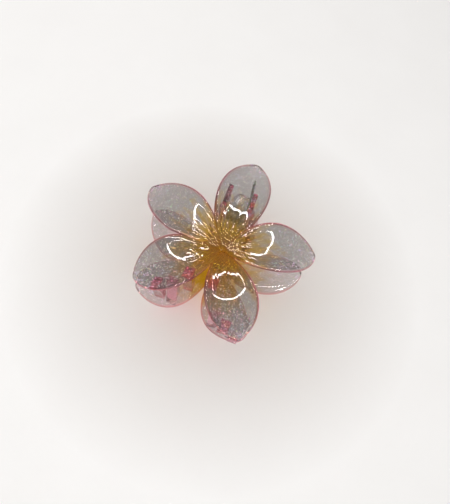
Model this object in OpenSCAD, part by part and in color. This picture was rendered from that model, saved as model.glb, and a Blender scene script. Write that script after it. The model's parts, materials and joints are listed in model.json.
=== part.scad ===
// Flower hair claw clip: two five-petal flower jaws on a steel pin, closed by a torsion spring.
// It lies on its rear flower: +Z up, hinge pin along X, top petals towards +Y.
// The origin is at the middle of the footprint, on the surface that the clip lies on.

/* [Petals] */
// Length of the top petal, from the flower's centre
top_len = 41.0; // [32:0.2:50]
// Length of the upper left petal
upper_left_len = 39.4; // [32:0.2:48]
// Length of the lower left petal
lower_left_len = 37.0; // [30:0.2:45]
// Length of the lower right petal
lower_right_len = 35.8; // [30:0.2:44]
// Length of the upper right petal
upper_right_len = 38.4; // [32:0.2:48]
// Half width of the top petal at its widest
top_half_w = 10.6; // [9.5:0.1:13]
// Half width of the two upper side petals
side_half_w = 10.1; // [8.5:0.1:12]
// Half width of the lower left petal, which carries teeth
lower_left_half_w = 10.7; // [9.5:0.1:13]
// Half width of the lower right petal, which carries teeth
lower_right_half_w = 10.3; // [9.5:0.1:13]
// Thickness of the moulded petal wall
wall = 2.0; // [1.6:0.1:3]
// Height of a petal's arch over the flower's centre
arch = 3.0; // [1:0.1:4]
// How far a petal's long edges rise over its middle
cup = 2.0; // [0:0.1:3]
// Sideways tilt of each petal, which makes the pinwheel steps
twist = 0.13; // [0:0.01:0.2]
// How far the lower left petal's tip bends towards the hair
left_droop = 3.0; // [2:0.1:7]
// How far the lower right petal's tip bends towards the hair
right_droop = 5.5; // [2:0.1:7]
// Radius of the plain middle that the petals grow from
centre_r = 2.6; // [2:0.1:4]

/* [Hinge] */
// Height of the hinge over the flower's centre, along the top petal
hinge_up = 21.0; // [18:0.2:24]
// Depth of the hinge behind each flower
hinge_depth = 14.5; // [12:0.1:20]
// Angle between each jaw and the plane midway between them
half_angle = 5.5; // [3:0.1:9]
// Radius of the hinge pin
pin_r = 1.0; // [0.8:0.05:1.2]
// Running clearance of the pin in the front lugs, on the radius
pin_clearance = 0.05; // [0.02:0.01:0.1]
// How far the pin's flattened heads stand out round the pin
head_lip = 0.6; // [0.4:0.1:1]
// Thickness of a pin head
head_t = 0.8; // [0.5:0.1:1.2]
// Thickness of a hinge lug
lug_t = 2.0; // [1.5:0.1:2.4]
// Wall of a lug round the pin
lug_wall = 2.0; // [1.6:0.1:2.8]
// Side gap between the spring's coil and a front lug
coil_side_gap = 0.8; // [0.4:0.05:1.2]
// Side gap between a front lug and the rear lug beside it
lug_gap = 0.5; // [0.3:0.1:1]
// Length of a lug's root along the top petal
lug_root = 11.0; // [8:0.5:13]

/* [Spring] */
// Wire diameter of the torsion spring
wire_d = 1.1; // [0.9:0.05:1.35]
// Room between the pin and the inside of the coil
coil_room = 1.15; // [0.9:0.05:1.4]
// Space between neighbouring turns of the coil
turn_gap = 0.2; // [0.1:0.05:0.3]
// Whole turns in the coil
coil_turns = 4; // [3:1:4]
// Height of the leg ends over the flower's centre
leg_rest_y = 33.0; // [29:0.5:35]
// Space between a leg's end and the petal that it presses
leg_gap = 0.15; // [0.1:0.05:0.5]

/* [Teeth] */
// Distance between neighbouring tooth columns
tooth_pitch = 5.0; // [4.1:0.1:6]
// Side gap between a tooth and the other jaw's tooth beside it
tooth_gap = 0.8; // [0.6:0.1:1.4]
// Position across the clip of the middle of the tooth columns
columns_middle = -1.0; // [-2:0.1:0]
// Depth of a tooth's root along the petal
tooth_root = 5.2; // [4:0.1:6]
// Depth of a tooth's rounded end
tooth_tip = 2.2; // [1.6:0.1:3]
// Bow of a tooth, outwards
tooth_bow = 1.2; // [0:0.1:2]
// Distance of the tooth roots inside the petal's edge
tooth_inset = 3.2; // [2.8:0.1:4]
// Space left in front of a tooth's end, measured square to its own flower
tooth_end_gap = 2.4; // [2:0.1:4]

/* [Hidden] */
$fn = 64;

clear_pink = [0.85, 0.76, 0.77, 0.75];
warm_yellow = [0.86, 0.62, 0.12, 0.85];
steel = [0.45, 0.43, 0.38];

// Petals in order: top, upper left, lower left, lower right, upper right.
TOP = 0;
UPPER_LEFT = 1;
LOWER_LEFT = 2;
LOWER_RIGHT = 3;
UPPER_RIGHT = 4;
// Direction of each petal's middle, in degrees from the top petal towards the left
turn = [-1, 65, 125, 208, 294];
// Direction of the joint line after each petal, and of the one before the first
joint_line = [33, 92, 166, 254, 327];
first_line = -33;
petal_len = [top_len, upper_left_len, lower_left_len, lower_right_len, upper_right_len];
half_w = [top_half_w, side_half_w, lower_left_half_w, lower_right_half_w, side_half_w];
// How far each tip leans to the left of the petal's middle
lean = [-1, 1.5, 1.5, 2.4, -4.5];
// How far each tip bends back
droop = [0.5, 0.5, left_droop, right_droop, 0.5];

// The outline swells as u^base_power and closes as (1 - u)^tip_power, with u from 0 to 1.
base_power = 0.9;
tip_power = 0.65;
widest = base_power / (base_power + tip_power);
widest_value = pow(widest, base_power) * pow(1 - widest, tip_power);
// The arch is highest at this share of the length, and the long edges are fully raised from this share.
arch_at = 0.45;
cup_full_at = 0.5;
rows = 14;
cols = 8;

function swell(u) = pow(u, base_power) * pow(1 - u, tip_power) / widest_value;
function middle(i, u) = lean[i] * u * u;
function line_before(i) = i == 0 ? first_line : joint_line[i - 1];
function left_edge(i, a) =
    let (u = a / petal_len[i])
    min(a * tan(joint_line[i] - turn[i]), middle(i, u) + half_w[i] * swell(u));
function right_edge(i, a) =
    let (u = a / petal_len[i])
    max(-a * tan(turn[i] - line_before(i)), middle(i, u) - half_w[i] * swell(u));

// Height of the wall's middle surface: arch, tip bend, raised edges and pinwheel tilt.
function height(i, a, b) =
    let (u = a / petal_len[i])
    arch * (1 - pow((u - arch_at) / arch_at, 2)) - droop[i] * pow(u, 3)
    + cup * pow(b / half_w[i], 2) * min(1, u / cup_full_at) + twist * b * u;
function along(i, x, y) = y * cos(turn[i]) - x * sin(turn[i]);
function across(i, x, y) = -x * cos(turn[i]) - y * sin(turn[i]);
function height_at(i, x, y) = height(i, along(i, x, y), across(i, x, y));
function place(i, a, b) = [-a * sin(turn[i]) - b * cos(turn[i]), a * cos(turn[i]) - b * sin(turn[i])];

// Stations crowd towards the tip, where the outline turns fastest.
last_u = 0.9995;
function station(i, k) = centre_r + (petal_len[i] * last_u - centre_r) * (1 - pow(1 - k / rows, 2));
function sheet(i, side) = [
    for (k = [0 : rows]) let (a = station(i, k), lo = right_edge(i, a), hi = left_edge(i, a))
        for (j = [0 : cols]) let (b = lo + (hi - lo) * j / cols, p = place(i, a, b))
            [p.x, p.y, height(i, a, b) + side * wall / 2]
];

// From a jaw's own frame, with the flower facing +Z, to the clip's frame
function from_front(p) =
    let (y = p.y - hinge_up, z = p.z + hinge_depth, t = 2 * half_angle)
    [p.x, hinge_up + y * cos(t) - z * sin(t), hinge_depth + y * sin(t) + z * cos(t)];
function from_rear(p) = [p.x, p.y, -p.z];
every_point = [
    for (i = [0 : 4], side = [-1, 1], p = sheet(i, side)) each [from_front(p), from_rear(p)]
];
low = [for (k = [0 : 2]) min([for (p = every_point) p[k]])];
high = [for (k = [0 : 2]) max([for (p = every_point) p[k]])];
origin = [(low.x + high.x) / 2, (low.y + high.y) / 2, low.z];

module on_front() {
    translate(-origin)
        translate([0, hinge_up, hinge_depth])
            rotate([2 * half_angle, 0, 0])
                translate([0, -hinge_up, hinge_depth])
                    children();
}

module on_rear() {
    translate(-origin)
        mirror([0, 0, 1])
            children();
}

// One petal: two sheets of points a wall apart, closed round the edge
module petal(i) {
    across_n = cols + 1;
    sheet_n = (rows + 1) * across_n;
    rim = concat(
        [for (j = [0 : cols - 1]) j],
        [for (k = [0 : rows - 1]) k * across_n + cols],
        [for (j = [cols : -1 : 1]) rows * across_n + j],
        [for (k = [rows : -1 : 1]) k * across_n]
    );
    faces = concat(
        [for (k = [0 : rows - 1], j = [0 : cols - 1]) let (n = sheet_n + k * across_n + j)
            each [[n, n + 1, n + across_n + 1], [n, n + across_n + 1, n + across_n]]],
        [for (k = [0 : rows - 1], j = [0 : cols - 1]) let (n = k * across_n + j)
            each [[n, n + across_n + 1, n + 1], [n, n + across_n, n + across_n + 1]]],
        [for (m = [0 : len(rim) - 1]) let (p = rim[m], q = rim[(m + 1) % len(rim)])
            each [[p, q, q + sheet_n], [p, q + sheet_n, p + sheet_n]]]
    );
    color(clear_pink)
        polyhedron(points = concat(sheet(i, -1), sheet(i, 1)), faces = faces, convexity = 6);
}

// The flower's plain middle: a plate whose corners are the petals' inner corners
module flower_centre() {
    corners = [for (i = [0 : 4]) place(i, centre_r, centre_r * tan(joint_line[i] - turn[i]))];
    color(warm_yellow)
        translate([0, 0, height(TOP, centre_r, 0) - wall / 2])
            linear_extrude(wall)
                polygon(corners);
}

// Turns an extruded (y, z) outline so that it stands across the clip, centred on x
module across_clip(x, w) {
    translate([x - w / 2, 0, 0])
        rotate([90, 0, 90])
            linear_extrude(w)
                children();
}

// Hinge lugs: plates from inside the top petal's wall to round ends on the hinge axis
root_depth = 0.2;
root_steps = 4;
lug_r = pin_r + lug_wall;
coil_start = 25;
coil_r = pin_r + coil_room + wire_d / 2;
coil_pitch = wire_d + turn_gap;
coil_sweep = 360 * coil_turns + 360 - 2 * coil_start;
coil_len = coil_pitch * coil_sweep / 360;
front_lug_x = (coil_len + wire_d + lug_t) / 2 + coil_side_gap;
rear_lug_x = front_lug_x + lug_t + lug_gap;
// This share of a lug's root lies below the pin.
lug_root_below = 0.45;
lug_start = hinge_up - lug_root * lug_root_below;
module lugs(x, bore_r) {
    round_end = [[hinge_up + lug_r, -hinge_depth], [hinge_up - lug_r, -hinge_depth]];
    for (s = [-1, 1]) {
        root = [for (k = [0 : root_steps]) let (y = lug_start + lug_root * k / root_steps)
            [y, height_at(TOP, s * x, y) - root_depth]];
        color(clear_pink)
            difference() {
                union() {
                    across_clip(s * x, lug_t)
                        polygon(concat(root, round_end));
                    translate([s * x - lug_t / 2, hinge_up, -hinge_depth])
                        rotate([0, 90, 0])
                            cylinder(r = lug_r, h = lug_t);
                }
                translate([s * x - lug_t, hinge_up, -hinge_depth])
                    rotate([0, 90, 0])
                        cylinder(r = bore_r, h = 2 * lug_t);
            }
    }
}

// Teeth: the roots follow the petal's lower edge, and the ends reach for the other jaw.
edge_from = 0.22;
edge_steps = 24;
function edge_line(i) = [
    for (k = [0 : edge_steps])
        let (a = petal_len[i] * (edge_from + (last_u - edge_from) * k / edge_steps),
             b = i == LOWER_LEFT ? left_edge(i, a) - tooth_inset : right_edge(i, a) + tooth_inset,
             p = place(i, a, b))
            [p.x, p.y]
];
function mid_plane(y) = -hinge_depth + (hinge_up - y) * tan(half_angle);
// The left petal has the first three columns, and the right petal has the last four.
left_column_n = 3;
first_right_column = 4;
column_n = 8;
tooth_steps = 6;
tooth_w = tooth_pitch - tooth_gap;
// Height of a tooth's rounded end, and where its two corners lie as a share of its half depth
tip_round = 0.35;
tip_corner = 0.6;
// A tooth is at least this long below the lowest point of its root.
shortest_tooth = 0.5;

module tooth(i, x) {
    y0 = lookup(x, edge_line(i));
    inner = height_at(i, x, y0) - wall / 2;
    root = [for (k = [0 : root_steps]) let (y = y0 + tooth_root * (0.5 - k / root_steps))
        [y, height_at(i, x, y) - root_depth]];
    start = min([for (p = root) p.y]);
    end = min(2 * mid_plane(y0) - inner + tooth_end_gap, start - shortest_tooth);
    spine = [for (k = [1 : tooth_steps]) let (s = k / tooth_steps)
        [y0 - tooth_bow * s * s, start + (end - start) * s, (tooth_root + (tooth_tip - tooth_root) * s) / 2]];
    last = spine[tooth_steps - 1];
    tip = [for (s = [-tip_corner, 0, tip_corner]) [last.x + s * last[2], last.y - tip_round * (1 - s * s)]];
    across_clip(x, tooth_w)
        polygon(concat(
            root,
            [for (p = spine) [p.x - p[2], p.y]],
            tip,
            [for (k = [tooth_steps - 1 : -1 : 0]) [spine[k].x + spine[k][2], spine[k].y]]
        ));
}

// The front jaw has the even columns and the rear jaw the odd ones, so they pass between each other.
module teeth(i, parity) {
    from = i == LOWER_LEFT ? 0 : first_right_column;
    to = i == LOWER_LEFT ? left_column_n - 1 : column_n - 1;
    color(clear_pink)
        for (k = [from : to])
            if (k % 2 == parity)
                tooth(i, columns_middle + (k - (column_n - 1) / 2) * tooth_pitch);
}

// Hinge pin: a steel rod through all four lugs, with flattened heads outside the rear pair
head_gap = 0.05;
head_r = pin_r + head_lip;
module hinge_pin() {
    reach = rear_lug_x + lug_t / 2 + head_gap;
    color(steel)
        translate([0, hinge_up, hinge_depth] - origin)
            rotate([0, 90, 0]) {
                cylinder(r = pin_r, h = 2 * (reach + head_t), center = true);
                for (s = [0, 1])
                    mirror([0, 0, s])
                        translate([0, 0, reach])
                            cylinder(r = head_r, h = head_t);
            }
}

// Torsion spring: a close coil on the pin, with a straight leg from each end to a top petal.
// Its (y, z) points are measured from the hinge in the plane midway between the jaws.
coil_steps = 14;
leg_steps = 4;
wire_sides = 8;
leg_end_z = height_at(TOP, coil_len / 2, leg_rest_y) - wall / 2 - wire_d / 2 - leg_gap + hinge_depth;
leg_end_y = leg_rest_y - hinge_up;
function leg_end(s) = [
    s * coil_len / 2,
    leg_end_y * cos(half_angle) - leg_end_z * sin(half_angle),
    s * (leg_end_y * sin(half_angle) + leg_end_z * cos(half_angle))
];
coil_n = round(coil_sweep / 360 * coil_steps);
function on_coil(k) =
    let (t = coil_start + coil_sweep * k / coil_n)
    [coil_len * (k / coil_n - 0.5), coil_r * cos(t), coil_r * sin(t)];
wire_path = concat(
    [for (k = [0 : leg_steps - 1]) leg_end(-1) + (on_coil(0) - leg_end(-1)) * k / leg_steps],
    [for (k = [0 : coil_n]) on_coil(k)],
    [for (k = [1 : leg_steps]) on_coil(coil_n) + (leg_end(1) - on_coil(coil_n)) * k / leg_steps]
);
function unit(v) = v / norm(v);
function wire_ring(k) =
    let (n = len(wire_path), t = unit(wire_path[min(k + 1, n - 1)] - wire_path[max(k - 1, 0)]),
         u = unit([1, 0, 0] - t * t.x), v = cross(t, u))
    [for (m = [0 : wire_sides - 1]) let (spin = 360 * m / wire_sides)
        wire_path[k] + wire_d / 2 * (u * cos(spin) + v * sin(spin))];

module torsion_spring() {
    n = len(wire_path);
    last = (n - 1) * wire_sides;
    faces = concat(
        [[for (m = [0 : wire_sides - 1]) m]],
        [for (k = [0 : n - 2], m = [0 : wire_sides - 1])
            let (p = k * wire_sides + m, q = k * wire_sides + (m + 1) % wire_sides)
                each [[p, p + wire_sides, q], [q, p + wire_sides, q + wire_sides]]],
        [[for (m = [wire_sides - 1 : -1 : 0]) last + m]]
    );
    color(steel)
        translate([0, hinge_up, hinge_depth] - origin)
            rotate([half_angle, 0, 0])
                polyhedron(points = [for (k = [0 : n - 1]) each wire_ring(k)], faces = faces, convexity = 10);
}

on_front() petal(TOP);  // front_petal_top
on_front() petal(UPPER_LEFT);  // front_petal_upper_left
on_front() petal(LOWER_LEFT);  // front_petal_lower_left
on_front() petal(LOWER_RIGHT);  // front_petal_lower_right
on_front() petal(UPPER_RIGHT);  // front_petal_upper_right
on_front() flower_centre();  // front_flower_centre
on_front() teeth(LOWER_LEFT, 0);  // front_teeth_left
on_front() teeth(LOWER_RIGHT, 0);  // front_teeth_right
on_front() lugs(front_lug_x, pin_r + pin_clearance);  // front_hinge_lugs
on_rear() petal(TOP);  // rear_petal_top
on_rear() petal(UPPER_LEFT);  // rear_petal_upper_left
on_rear() petal(LOWER_LEFT);  // rear_petal_lower_left
on_rear() petal(LOWER_RIGHT);  // rear_petal_lower_right
on_rear() petal(UPPER_RIGHT);  // rear_petal_upper_right
on_rear() flower_centre();  // rear_flower_centre
on_rear() teeth(LOWER_LEFT, 1);  // rear_teeth_left
on_rear() teeth(LOWER_RIGHT, 1);  // rear_teeth_right
on_rear() lugs(rear_lug_x, pin_r);  // rear_hinge_lugs
hinge_pin();
torsion_spring();
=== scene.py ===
import json
import math

import bpy
import numpy as np
from mathutils import Matrix, Vector


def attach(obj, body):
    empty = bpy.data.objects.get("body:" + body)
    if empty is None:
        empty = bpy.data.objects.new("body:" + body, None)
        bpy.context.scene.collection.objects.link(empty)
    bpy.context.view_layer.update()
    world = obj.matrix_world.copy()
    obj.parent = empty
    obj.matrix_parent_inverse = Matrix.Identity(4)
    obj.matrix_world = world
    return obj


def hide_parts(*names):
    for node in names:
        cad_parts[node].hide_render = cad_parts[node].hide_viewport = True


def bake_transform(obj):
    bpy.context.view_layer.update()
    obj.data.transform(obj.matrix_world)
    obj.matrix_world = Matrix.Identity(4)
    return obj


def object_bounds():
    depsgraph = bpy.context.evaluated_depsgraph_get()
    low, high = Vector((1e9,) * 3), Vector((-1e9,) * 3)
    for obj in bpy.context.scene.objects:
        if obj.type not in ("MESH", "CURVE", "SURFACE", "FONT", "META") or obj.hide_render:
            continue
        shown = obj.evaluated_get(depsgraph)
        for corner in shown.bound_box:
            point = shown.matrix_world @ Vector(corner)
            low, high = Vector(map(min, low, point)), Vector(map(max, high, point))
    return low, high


bl_info = {
    "name": "Flower Hair Claw Clip",
    "version": (1, 0, 0),
    "blender": (4, 5, 0),
    "location": "View3D > Sidebar > Flower Clip",
    "description": "Moulded flower jaws, glitter, hinge pin, spring and studio of a hair claw clip",
    "category": "Object",
}

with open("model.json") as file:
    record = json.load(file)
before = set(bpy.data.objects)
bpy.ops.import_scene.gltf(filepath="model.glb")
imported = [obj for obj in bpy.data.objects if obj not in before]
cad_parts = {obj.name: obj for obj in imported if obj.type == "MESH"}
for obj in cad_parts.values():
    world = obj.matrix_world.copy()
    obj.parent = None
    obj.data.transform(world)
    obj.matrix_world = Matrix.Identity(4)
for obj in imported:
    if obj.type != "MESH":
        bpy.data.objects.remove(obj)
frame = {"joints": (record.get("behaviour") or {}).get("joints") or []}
cad_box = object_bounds()
HINGE = np.array(frame["joints"][0]["pos_m"])

# Petals in order: top, upper left, lower left, lower right, upper right. Three of their places:
TOP, LOWER_LEFT, LOWER_RIGHT = 0, 2, 3
PETAL_COUNT = 5
# Direction of each petal's middle, in degrees from the top petal towards the left
TURN = (-1, 65, 125, 208, 294)
# Direction of the line between a petal and the next, with the one before the first in front
JOINT_LINES = (-33, 33, 92, 166, 254, 327)
# How far each petal's tip leans to the left of its middle, in metres
LEAN = (-0.001, 0.0015, 0.0015, 0.0024, -0.0045)
# How many folds cross each petal, and the share of its length that they reach
FOLD_COUNT = (2, 3, 3, 3, 3)
FOLD_REACH = (0.95, 0.42, 0.44, 0.44, 0.5)
# The outline swells by the first power and closes by the second.
BASE_POWER, TIP_POWER = 0.9, 0.65
# Shares of the length at which the arch is highest, and from which the long edges are fully raised
ARCH_AT, CUP_FULL_AT = 0.45, 0.5
# A petal's points along it: the first distance, the last share of its length, and their crowding
# towards the tip
FIRST_STATION, LAST_STATION, CROWDING = 0.0003, 0.9998, 2.2
# How far neighbouring petals lap over each other, in metres
LAP = 0.0004
# Half the wall is at most this share of a petal's half width.
THICKEST = 0.9
# Folds and veins, as shares of the length: where they set in, how long they take to fade, and where
# the veins end
BASE_FADE, FOLD_FADE, VEIN_REACH = 0.1, 0.4, 0.5
# Sideways run of the folds, veins from a petal's middle to its edge, and how both flatten with the width
FOLD_SLANT, VEIN_COUNT, FLATTENING = 0.1, 5.5, 0.7
# The raised lip: where it starts across the petal, how wide it is, and where it sets in along it
LIP_FROM, LIP_WIDTH, LIP_FADE = 0.72, 0.28, 0.3

# Depth of a root inside the petal's wall, and the bevel round teeth and lugs, in metres
ROOT_DEPTH, BEVEL = 0.0002, 0.0003
# Share of a lug's root that lies below the pin
LUG_ROOT_BELOW = 0.45
# Depth of a tooth at its root and at its end, its outward bow, and the height of its rounded end
TOOTH_ROOT, TOOTH_TIP, TOOTH_BOW, TIP_ROUND = 0.0052, 0.0022, 0.0012, 0.00035
# Distance of a tooth from the petal's edge, the space in front of its end, and its least length
TOOTH_INSET, TOOTH_END_GAP, SHORTEST_TOOTH = 0.0032, 0.0024, 0.0005
# Shares of a petal's length between which its edge can carry teeth, and the points along it there
EDGE_FROM, EDGE_TO, EDGE_POINTS = 0.22, 0.9995, 25
# Points of a tooth's outline along its root, its spine and its rounded end
TOOTH_POINTS, SPINE_POINTS, TIP_POINTS = 7, 13, 9
# Points of a lug's outline along its root and its round end
LUG_POINTS, LUG_END_POINTS = 9, 25
# The columns before the empty one stand on the lower left petal, the rest on the lower right one.
COLUMN_COUNT, EMPTY_COLUMN = 8, 3
# How strongly a plate glows before its last third
BASE_GLOW = 0.1
# Half the length of the rod that cuts the lugs' bores, in metres
BORE_REACH = 0.02
# A moulding with fewer faces than this has failed to join.
FEWEST_FACES = 1000
# Edges that turn more than this stay sharp, on the mouldings and on the pin.
MOULDING_CREASE, PIN_CREASE = math.radians(38), math.radians(35)

# Angle on the coil at which each leg leaves it, and the space between a leg's end and its petal
COIL_START, LEG_GAP = math.radians(25), 0.00015
HELIX_STEPS, LEG_STEPS, WIRE_SIDES = 260, 30, 16
# Share of the wire's radius that is left at its two cut ends
NOSE = 0.7
# A pin head: its space to the lug, its straight side, its dome's height and its flat middle's share
HEAD_GAP, HEAD_SIDE, DOME_HEIGHT, DOME_FLAT = 0.00005, 0.0003, 0.0005, 0.45
# Points round the pin and its bores, and along a dome
PIN_SIDES, DOME_POINTS = 48, 9

# Glitter: shares of a petal's length squared, its half width and its wall that hold flakes
FLAKE_REACH, FLAKE_SPREAD, FLAKE_DEPTH = (0.02, 0.96), 0.88, 0.34
# Spread of the flakes' slopes, their radii, and half their thickness in metres
FLAKE_TILT, FLAKE_RADII, FLAKE_HALF_THICKNESS = 0.45, (0.00008, 0.00015), 0.00001
# Corners of a flake, and the line that its first corner lies square to
FLAKE_SIDES, FLAKE_LINE = 4, (1, 0.2, 0)
# For each jaw: name, whether it is the front one, flakes in each petal, and seed of the draws
GLITTER = (("front", True, 900, 11), ("rear", False, 500, 12))

# Grains: the share of the cells that have none, and a grain's radius in its cell
GRAIN_CHOICE, GRAIN_SIZE = 0.86, 0.42
# How much the grains count in the plastic's colour, and how much of the rim colour, a painted glow, the
# slanting faces and glowing edges take
GRAIN_STRENGTH, SLANT_PAINTED_GLOW, EDGE_PAINTED_GLOW = 0.35, 0.6, 0.7
# The plastic's absorption for each metre, and its tint for the light of the lamps
ABSORPTION, SHADOW_TINT = 62, (0.93, 0.98, 0.96, 1)
# Spread and least value of the plastic's roughness, and the spread of the steel's
ROUGH_SPREAD, LEAST_ROUGH, STEEL_ROUGH_SPREAD = 0.06, 0.015, 0.25
# Power by which the painted rim glow grows on slanting faces
SLANT_POWER = 2.0
# The yellow tint: weight of depth in its reach, change of the streaks outwards, their spread in metres
DEPTH_WEIGHT, STREAK_RATE, STREAK_SPREAD, LEAST_SPREAD = 1.5, 25.0, 0.036, 0.005
# Its fade, its strength, and the reach of the orange throat in metres
TINT_FADE, TINT_STRENGTH, THROAT_REACH = 0.9, 1.6, 0.008
# Stains on steel: how dark they are, and the cloudiness at which they start
STAIN_SHADE, STAIN_LEVEL = 0.35, 0.35
# Painted shade round the clip: the floor turns from its darker colour to the pale surround from this
# distance, over this width, and has a mottle of this strength.
SHADE_FADE_FROM, SHADE_FADE_WIDTH, MOTTLE = 0.022, 0.075, 0.1

# Lamps: name, place, size in metres and power in watts
SOFTBOXES = (
    ("key_softbox", (-0.35, 0.1, 0.7), 0.9, 3.8),
    ("fill_softbox", (0.5, -0.4, 0.5), 0.8, 1.6),
)
# The ring lamp: its radius, its tube's radius, its strength, and its points round and across
RING_RADIUS, RING_TUBE, RING_STRENGTH = 0.085, 0.004, 40
RING_STEPS, RING_SIDES = 96, 12
# The camera's sensor width in millimetres, and its clip distances in metres
SENSOR_WIDTH, CLIP_START, CLIP_END = 36, 0.01, 20
# Half the floor's side, and its depth below the clip, so that the lips of the petals clear it
FLOOR_HALF_SIDE, FLOOR_DROP = 3.0, 0.0002
WORLD_COLOUR, WORLD_STRENGTH = (1, 0.985, 0.97, 1), 0.5
JAW_NODES = (
    "petal_top", "petal_upper_left", "petal_lower_left", "petal_lower_right",
    "petal_upper_right", "flower_centre", "teeth_left", "teeth_right", "hinge_lugs",
)


def length_property(name, description, default):
    """A length, in metres."""
    return bpy.props.FloatProperty(name=name, description=description, default=default, unit="LENGTH")


def angle_property(name, description, degrees):
    """An angle, with its default given in degrees."""
    return bpy.props.FloatProperty(
        name=name, description=description, default=math.radians(degrees), subtype="ANGLE")


def colour_property(name, description, default):
    """A colour, in linear light."""
    return bpy.props.FloatVectorProperty(
        name=name, description=description, subtype="COLOR", size=3, default=default)


class FlowerSizes(bpy.types.PropertyGroup):
    """Sizes of one moulded flower jaw."""

    top_length: length_property("Top Petal", "Length of the top petal", 0.041)
    upper_left_length: length_property("Upper Left Petal", "Length of the upper left petal", 0.0394)
    lower_left_length: length_property("Lower Left Petal", "Length of the lower left petal", 0.037)
    lower_right_length: length_property("Lower Right Petal", "Length of the lower right petal", 0.0358)
    upper_right_length: length_property("Upper Right Petal", "Length of the upper right petal", 0.0384)
    top_half_width: length_property("Top Half Width", "Half width of the top petal", 0.0106)
    side_half_width: length_property("Side Half Width", "Half width of the upper side petals", 0.0101)
    lower_left_half_width: length_property(
        "Lower Left Half Width", "Half width of the lower left petal", 0.0107)
    lower_right_half_width: length_property(
        "Lower Right Half Width", "Half width of the lower right petal", 0.0103)
    wall: length_property("Wall", "Thickness of the moulded wall", 0.002)
    arch: length_property("Arch", "Height of the arch along a petal", 0.003)
    cup: length_property("Cup", "Rise of a petal's long edges over its middle", 0.002)
    twist: bpy.props.FloatProperty(
        name="Twist", description="Sideways tilt of each petal, as a slope", default=0.13)
    side_droop: length_property("Upper Droop", "Bend of the upper petals' tips", 0.0005)
    left_droop: length_property("Left Droop", "Bend of the lower left petal's tip", 0.003)
    right_droop: length_property("Right Droop", "Bend of the lower right petal's tip", 0.0055)
    vein_depth: length_property("Vein Depth", "Depth of the fine grooves at the petal's base", 0.0001)
    fold_depth: length_property("Fold Depth", "Depth of the long folds that run out along a petal", 0.0004)
    rim_height: length_property("Rim Height", "Height of the raised lip along a petal's edge", 0.0005)


class HingeSizes(bpy.types.PropertyGroup):
    """Sizes of the hinge, the spring and the teeth."""

    up: length_property("Hinge Height", "Height of the hinge over the flower's centre", 0.021)
    depth: length_property("Hinge Depth", "Depth of the hinge behind each flower", 0.0145)
    half_angle: angle_property("Half Angle", "Angle between a jaw and the plane midway between them", 5.5)
    lug_radius: length_property("Lug Radius", "Radius of a lug's round end", 0.003)
    lug_thickness: length_property("Lug Thickness", "Thickness of a lug", 0.002)
    lug_root: length_property("Lug Root", "Length of a lug's root along the petal", 0.011)
    front_lug_x: length_property("Front Lug", "Distance of the front lugs from the middle", 0.00551)
    rear_lug_x: length_property("Rear Lug", "Distance of the rear lugs from the middle", 0.00801)
    pin_radius: length_property("Pin Radius", "Radius of the hinge pin", 0.001)
    head_radius: length_property("Head Radius", "Radius of the pin's flattened heads", 0.0016)
    bore_radius: length_property("Bore Radius", "Radius of the lugs' bores", 0.00105)
    wire: length_property("Wire", "Diameter of the spring wire", 0.0011)
    coil_radius: length_property("Coil Radius", "Radius of the coil at its wire's middle", 0.0027)
    coil_pitch: length_property("Coil Pitch", "Distance between turns", 0.0013)
    coil_turns: bpy.props.IntProperty(
        name="Coil Turns", description="Whole turns in the coil", default=4)
    leg_rest: length_property("Leg Rest", "Height of the leg ends over the flower's centre", 0.033)
    tooth_pitch: length_property("Tooth Pitch", "Distance between tooth columns", 0.005)
    tooth_width: length_property("Tooth Width", "Width of a tooth", 0.0042)
    first_column: length_property("First Column", "Position of the first tooth column", -0.0185)


class FinishColours(bpy.types.PropertyGroup):
    """Colours of the clip's finishes, with the painted glow of its rims, the rear jaw's painted lighter
    tint and the floor's painted shade.
    """

    plastic: colour_property("Plastic", "Tint of the clear plastic", (0.455, 0.48, 0.46))
    # Painted light: the rear jaw is the same plastic as the front, given a lighter tint so that it looks
    # brighter where it is seen through the front jaw.
    rear_plastic_painted_lighter: colour_property(
        "Rear Plastic", "Lighter tint of the rear jaw's plastic", (0.6, 0.6, 0.585))
    edge: colour_property(
        "Edge Glow", "Colour that long paths through the plastic take", (0.995, 0.42, 0.68))
    # Painted glow: this red is mixed into the plastic's colour on slanting faces and rims, in place of
    # light carried along the plastic's edges.
    rim: colour_property("Rim", "Colour of the moulding's edges", (0.92, 0.16, 0.16))
    centre: colour_property("Flower Centre", "Yellow tint of the flower's centre", (0.56, 0.38, 0.004))
    throat: colour_property("Throat", "Orange of the streaks in the centre", (0.52, 0.24, 0.005))
    spring: colour_property("Spring", "Colour of the oiled spring wire", (0.26, 0.23, 0.14))
    pin: colour_property("Pin", "Colour of the steel pin", (0.5, 0.48, 0.45))
    # Painted shade: the floor colour is the darker shade near the clip, and the surround is the floor's own
    # pale colour further out.
    floor: colour_property("Floor", "Colour of the floor", (0.56, 0.525, 0.49))
    surround: colour_property("Surround", "Colour of the floor further out", (0.93, 0.92, 0.91))


class StudioSettings(bpy.types.PropertyGroup):
    """Camera and lights."""

    lens: bpy.props.FloatProperty(name="Lens", description="Focal length in millimetres", default=34.3)
    distance: length_property("Distance", "Camera's distance from its target", 0.193)
    turn: angle_property("Turn", "Turn of the camera about the vertical", 4.3)
    elevation: angle_property("Elevation", "Height angle of the camera", 64.1)
    roll: angle_property("Roll", "Roll of the camera about its view", 16.2)
    ring_tilt: angle_property(
        "Ring Tilt", "Angle of the ring lamp from the vertical, towards the camera", 13)
    target: bpy.props.FloatVectorProperty(
        name="Target", description="Point the camera looks at, from the hinge", size=3,
        subtype="TRANSLATION", default=(0.0017, -0.0238, 0.0105))


def sizes():
    """The flower's and the hinge's property groups."""
    return bpy.context.scene.flower_sizes, bpy.context.scene.hinge_sizes


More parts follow.
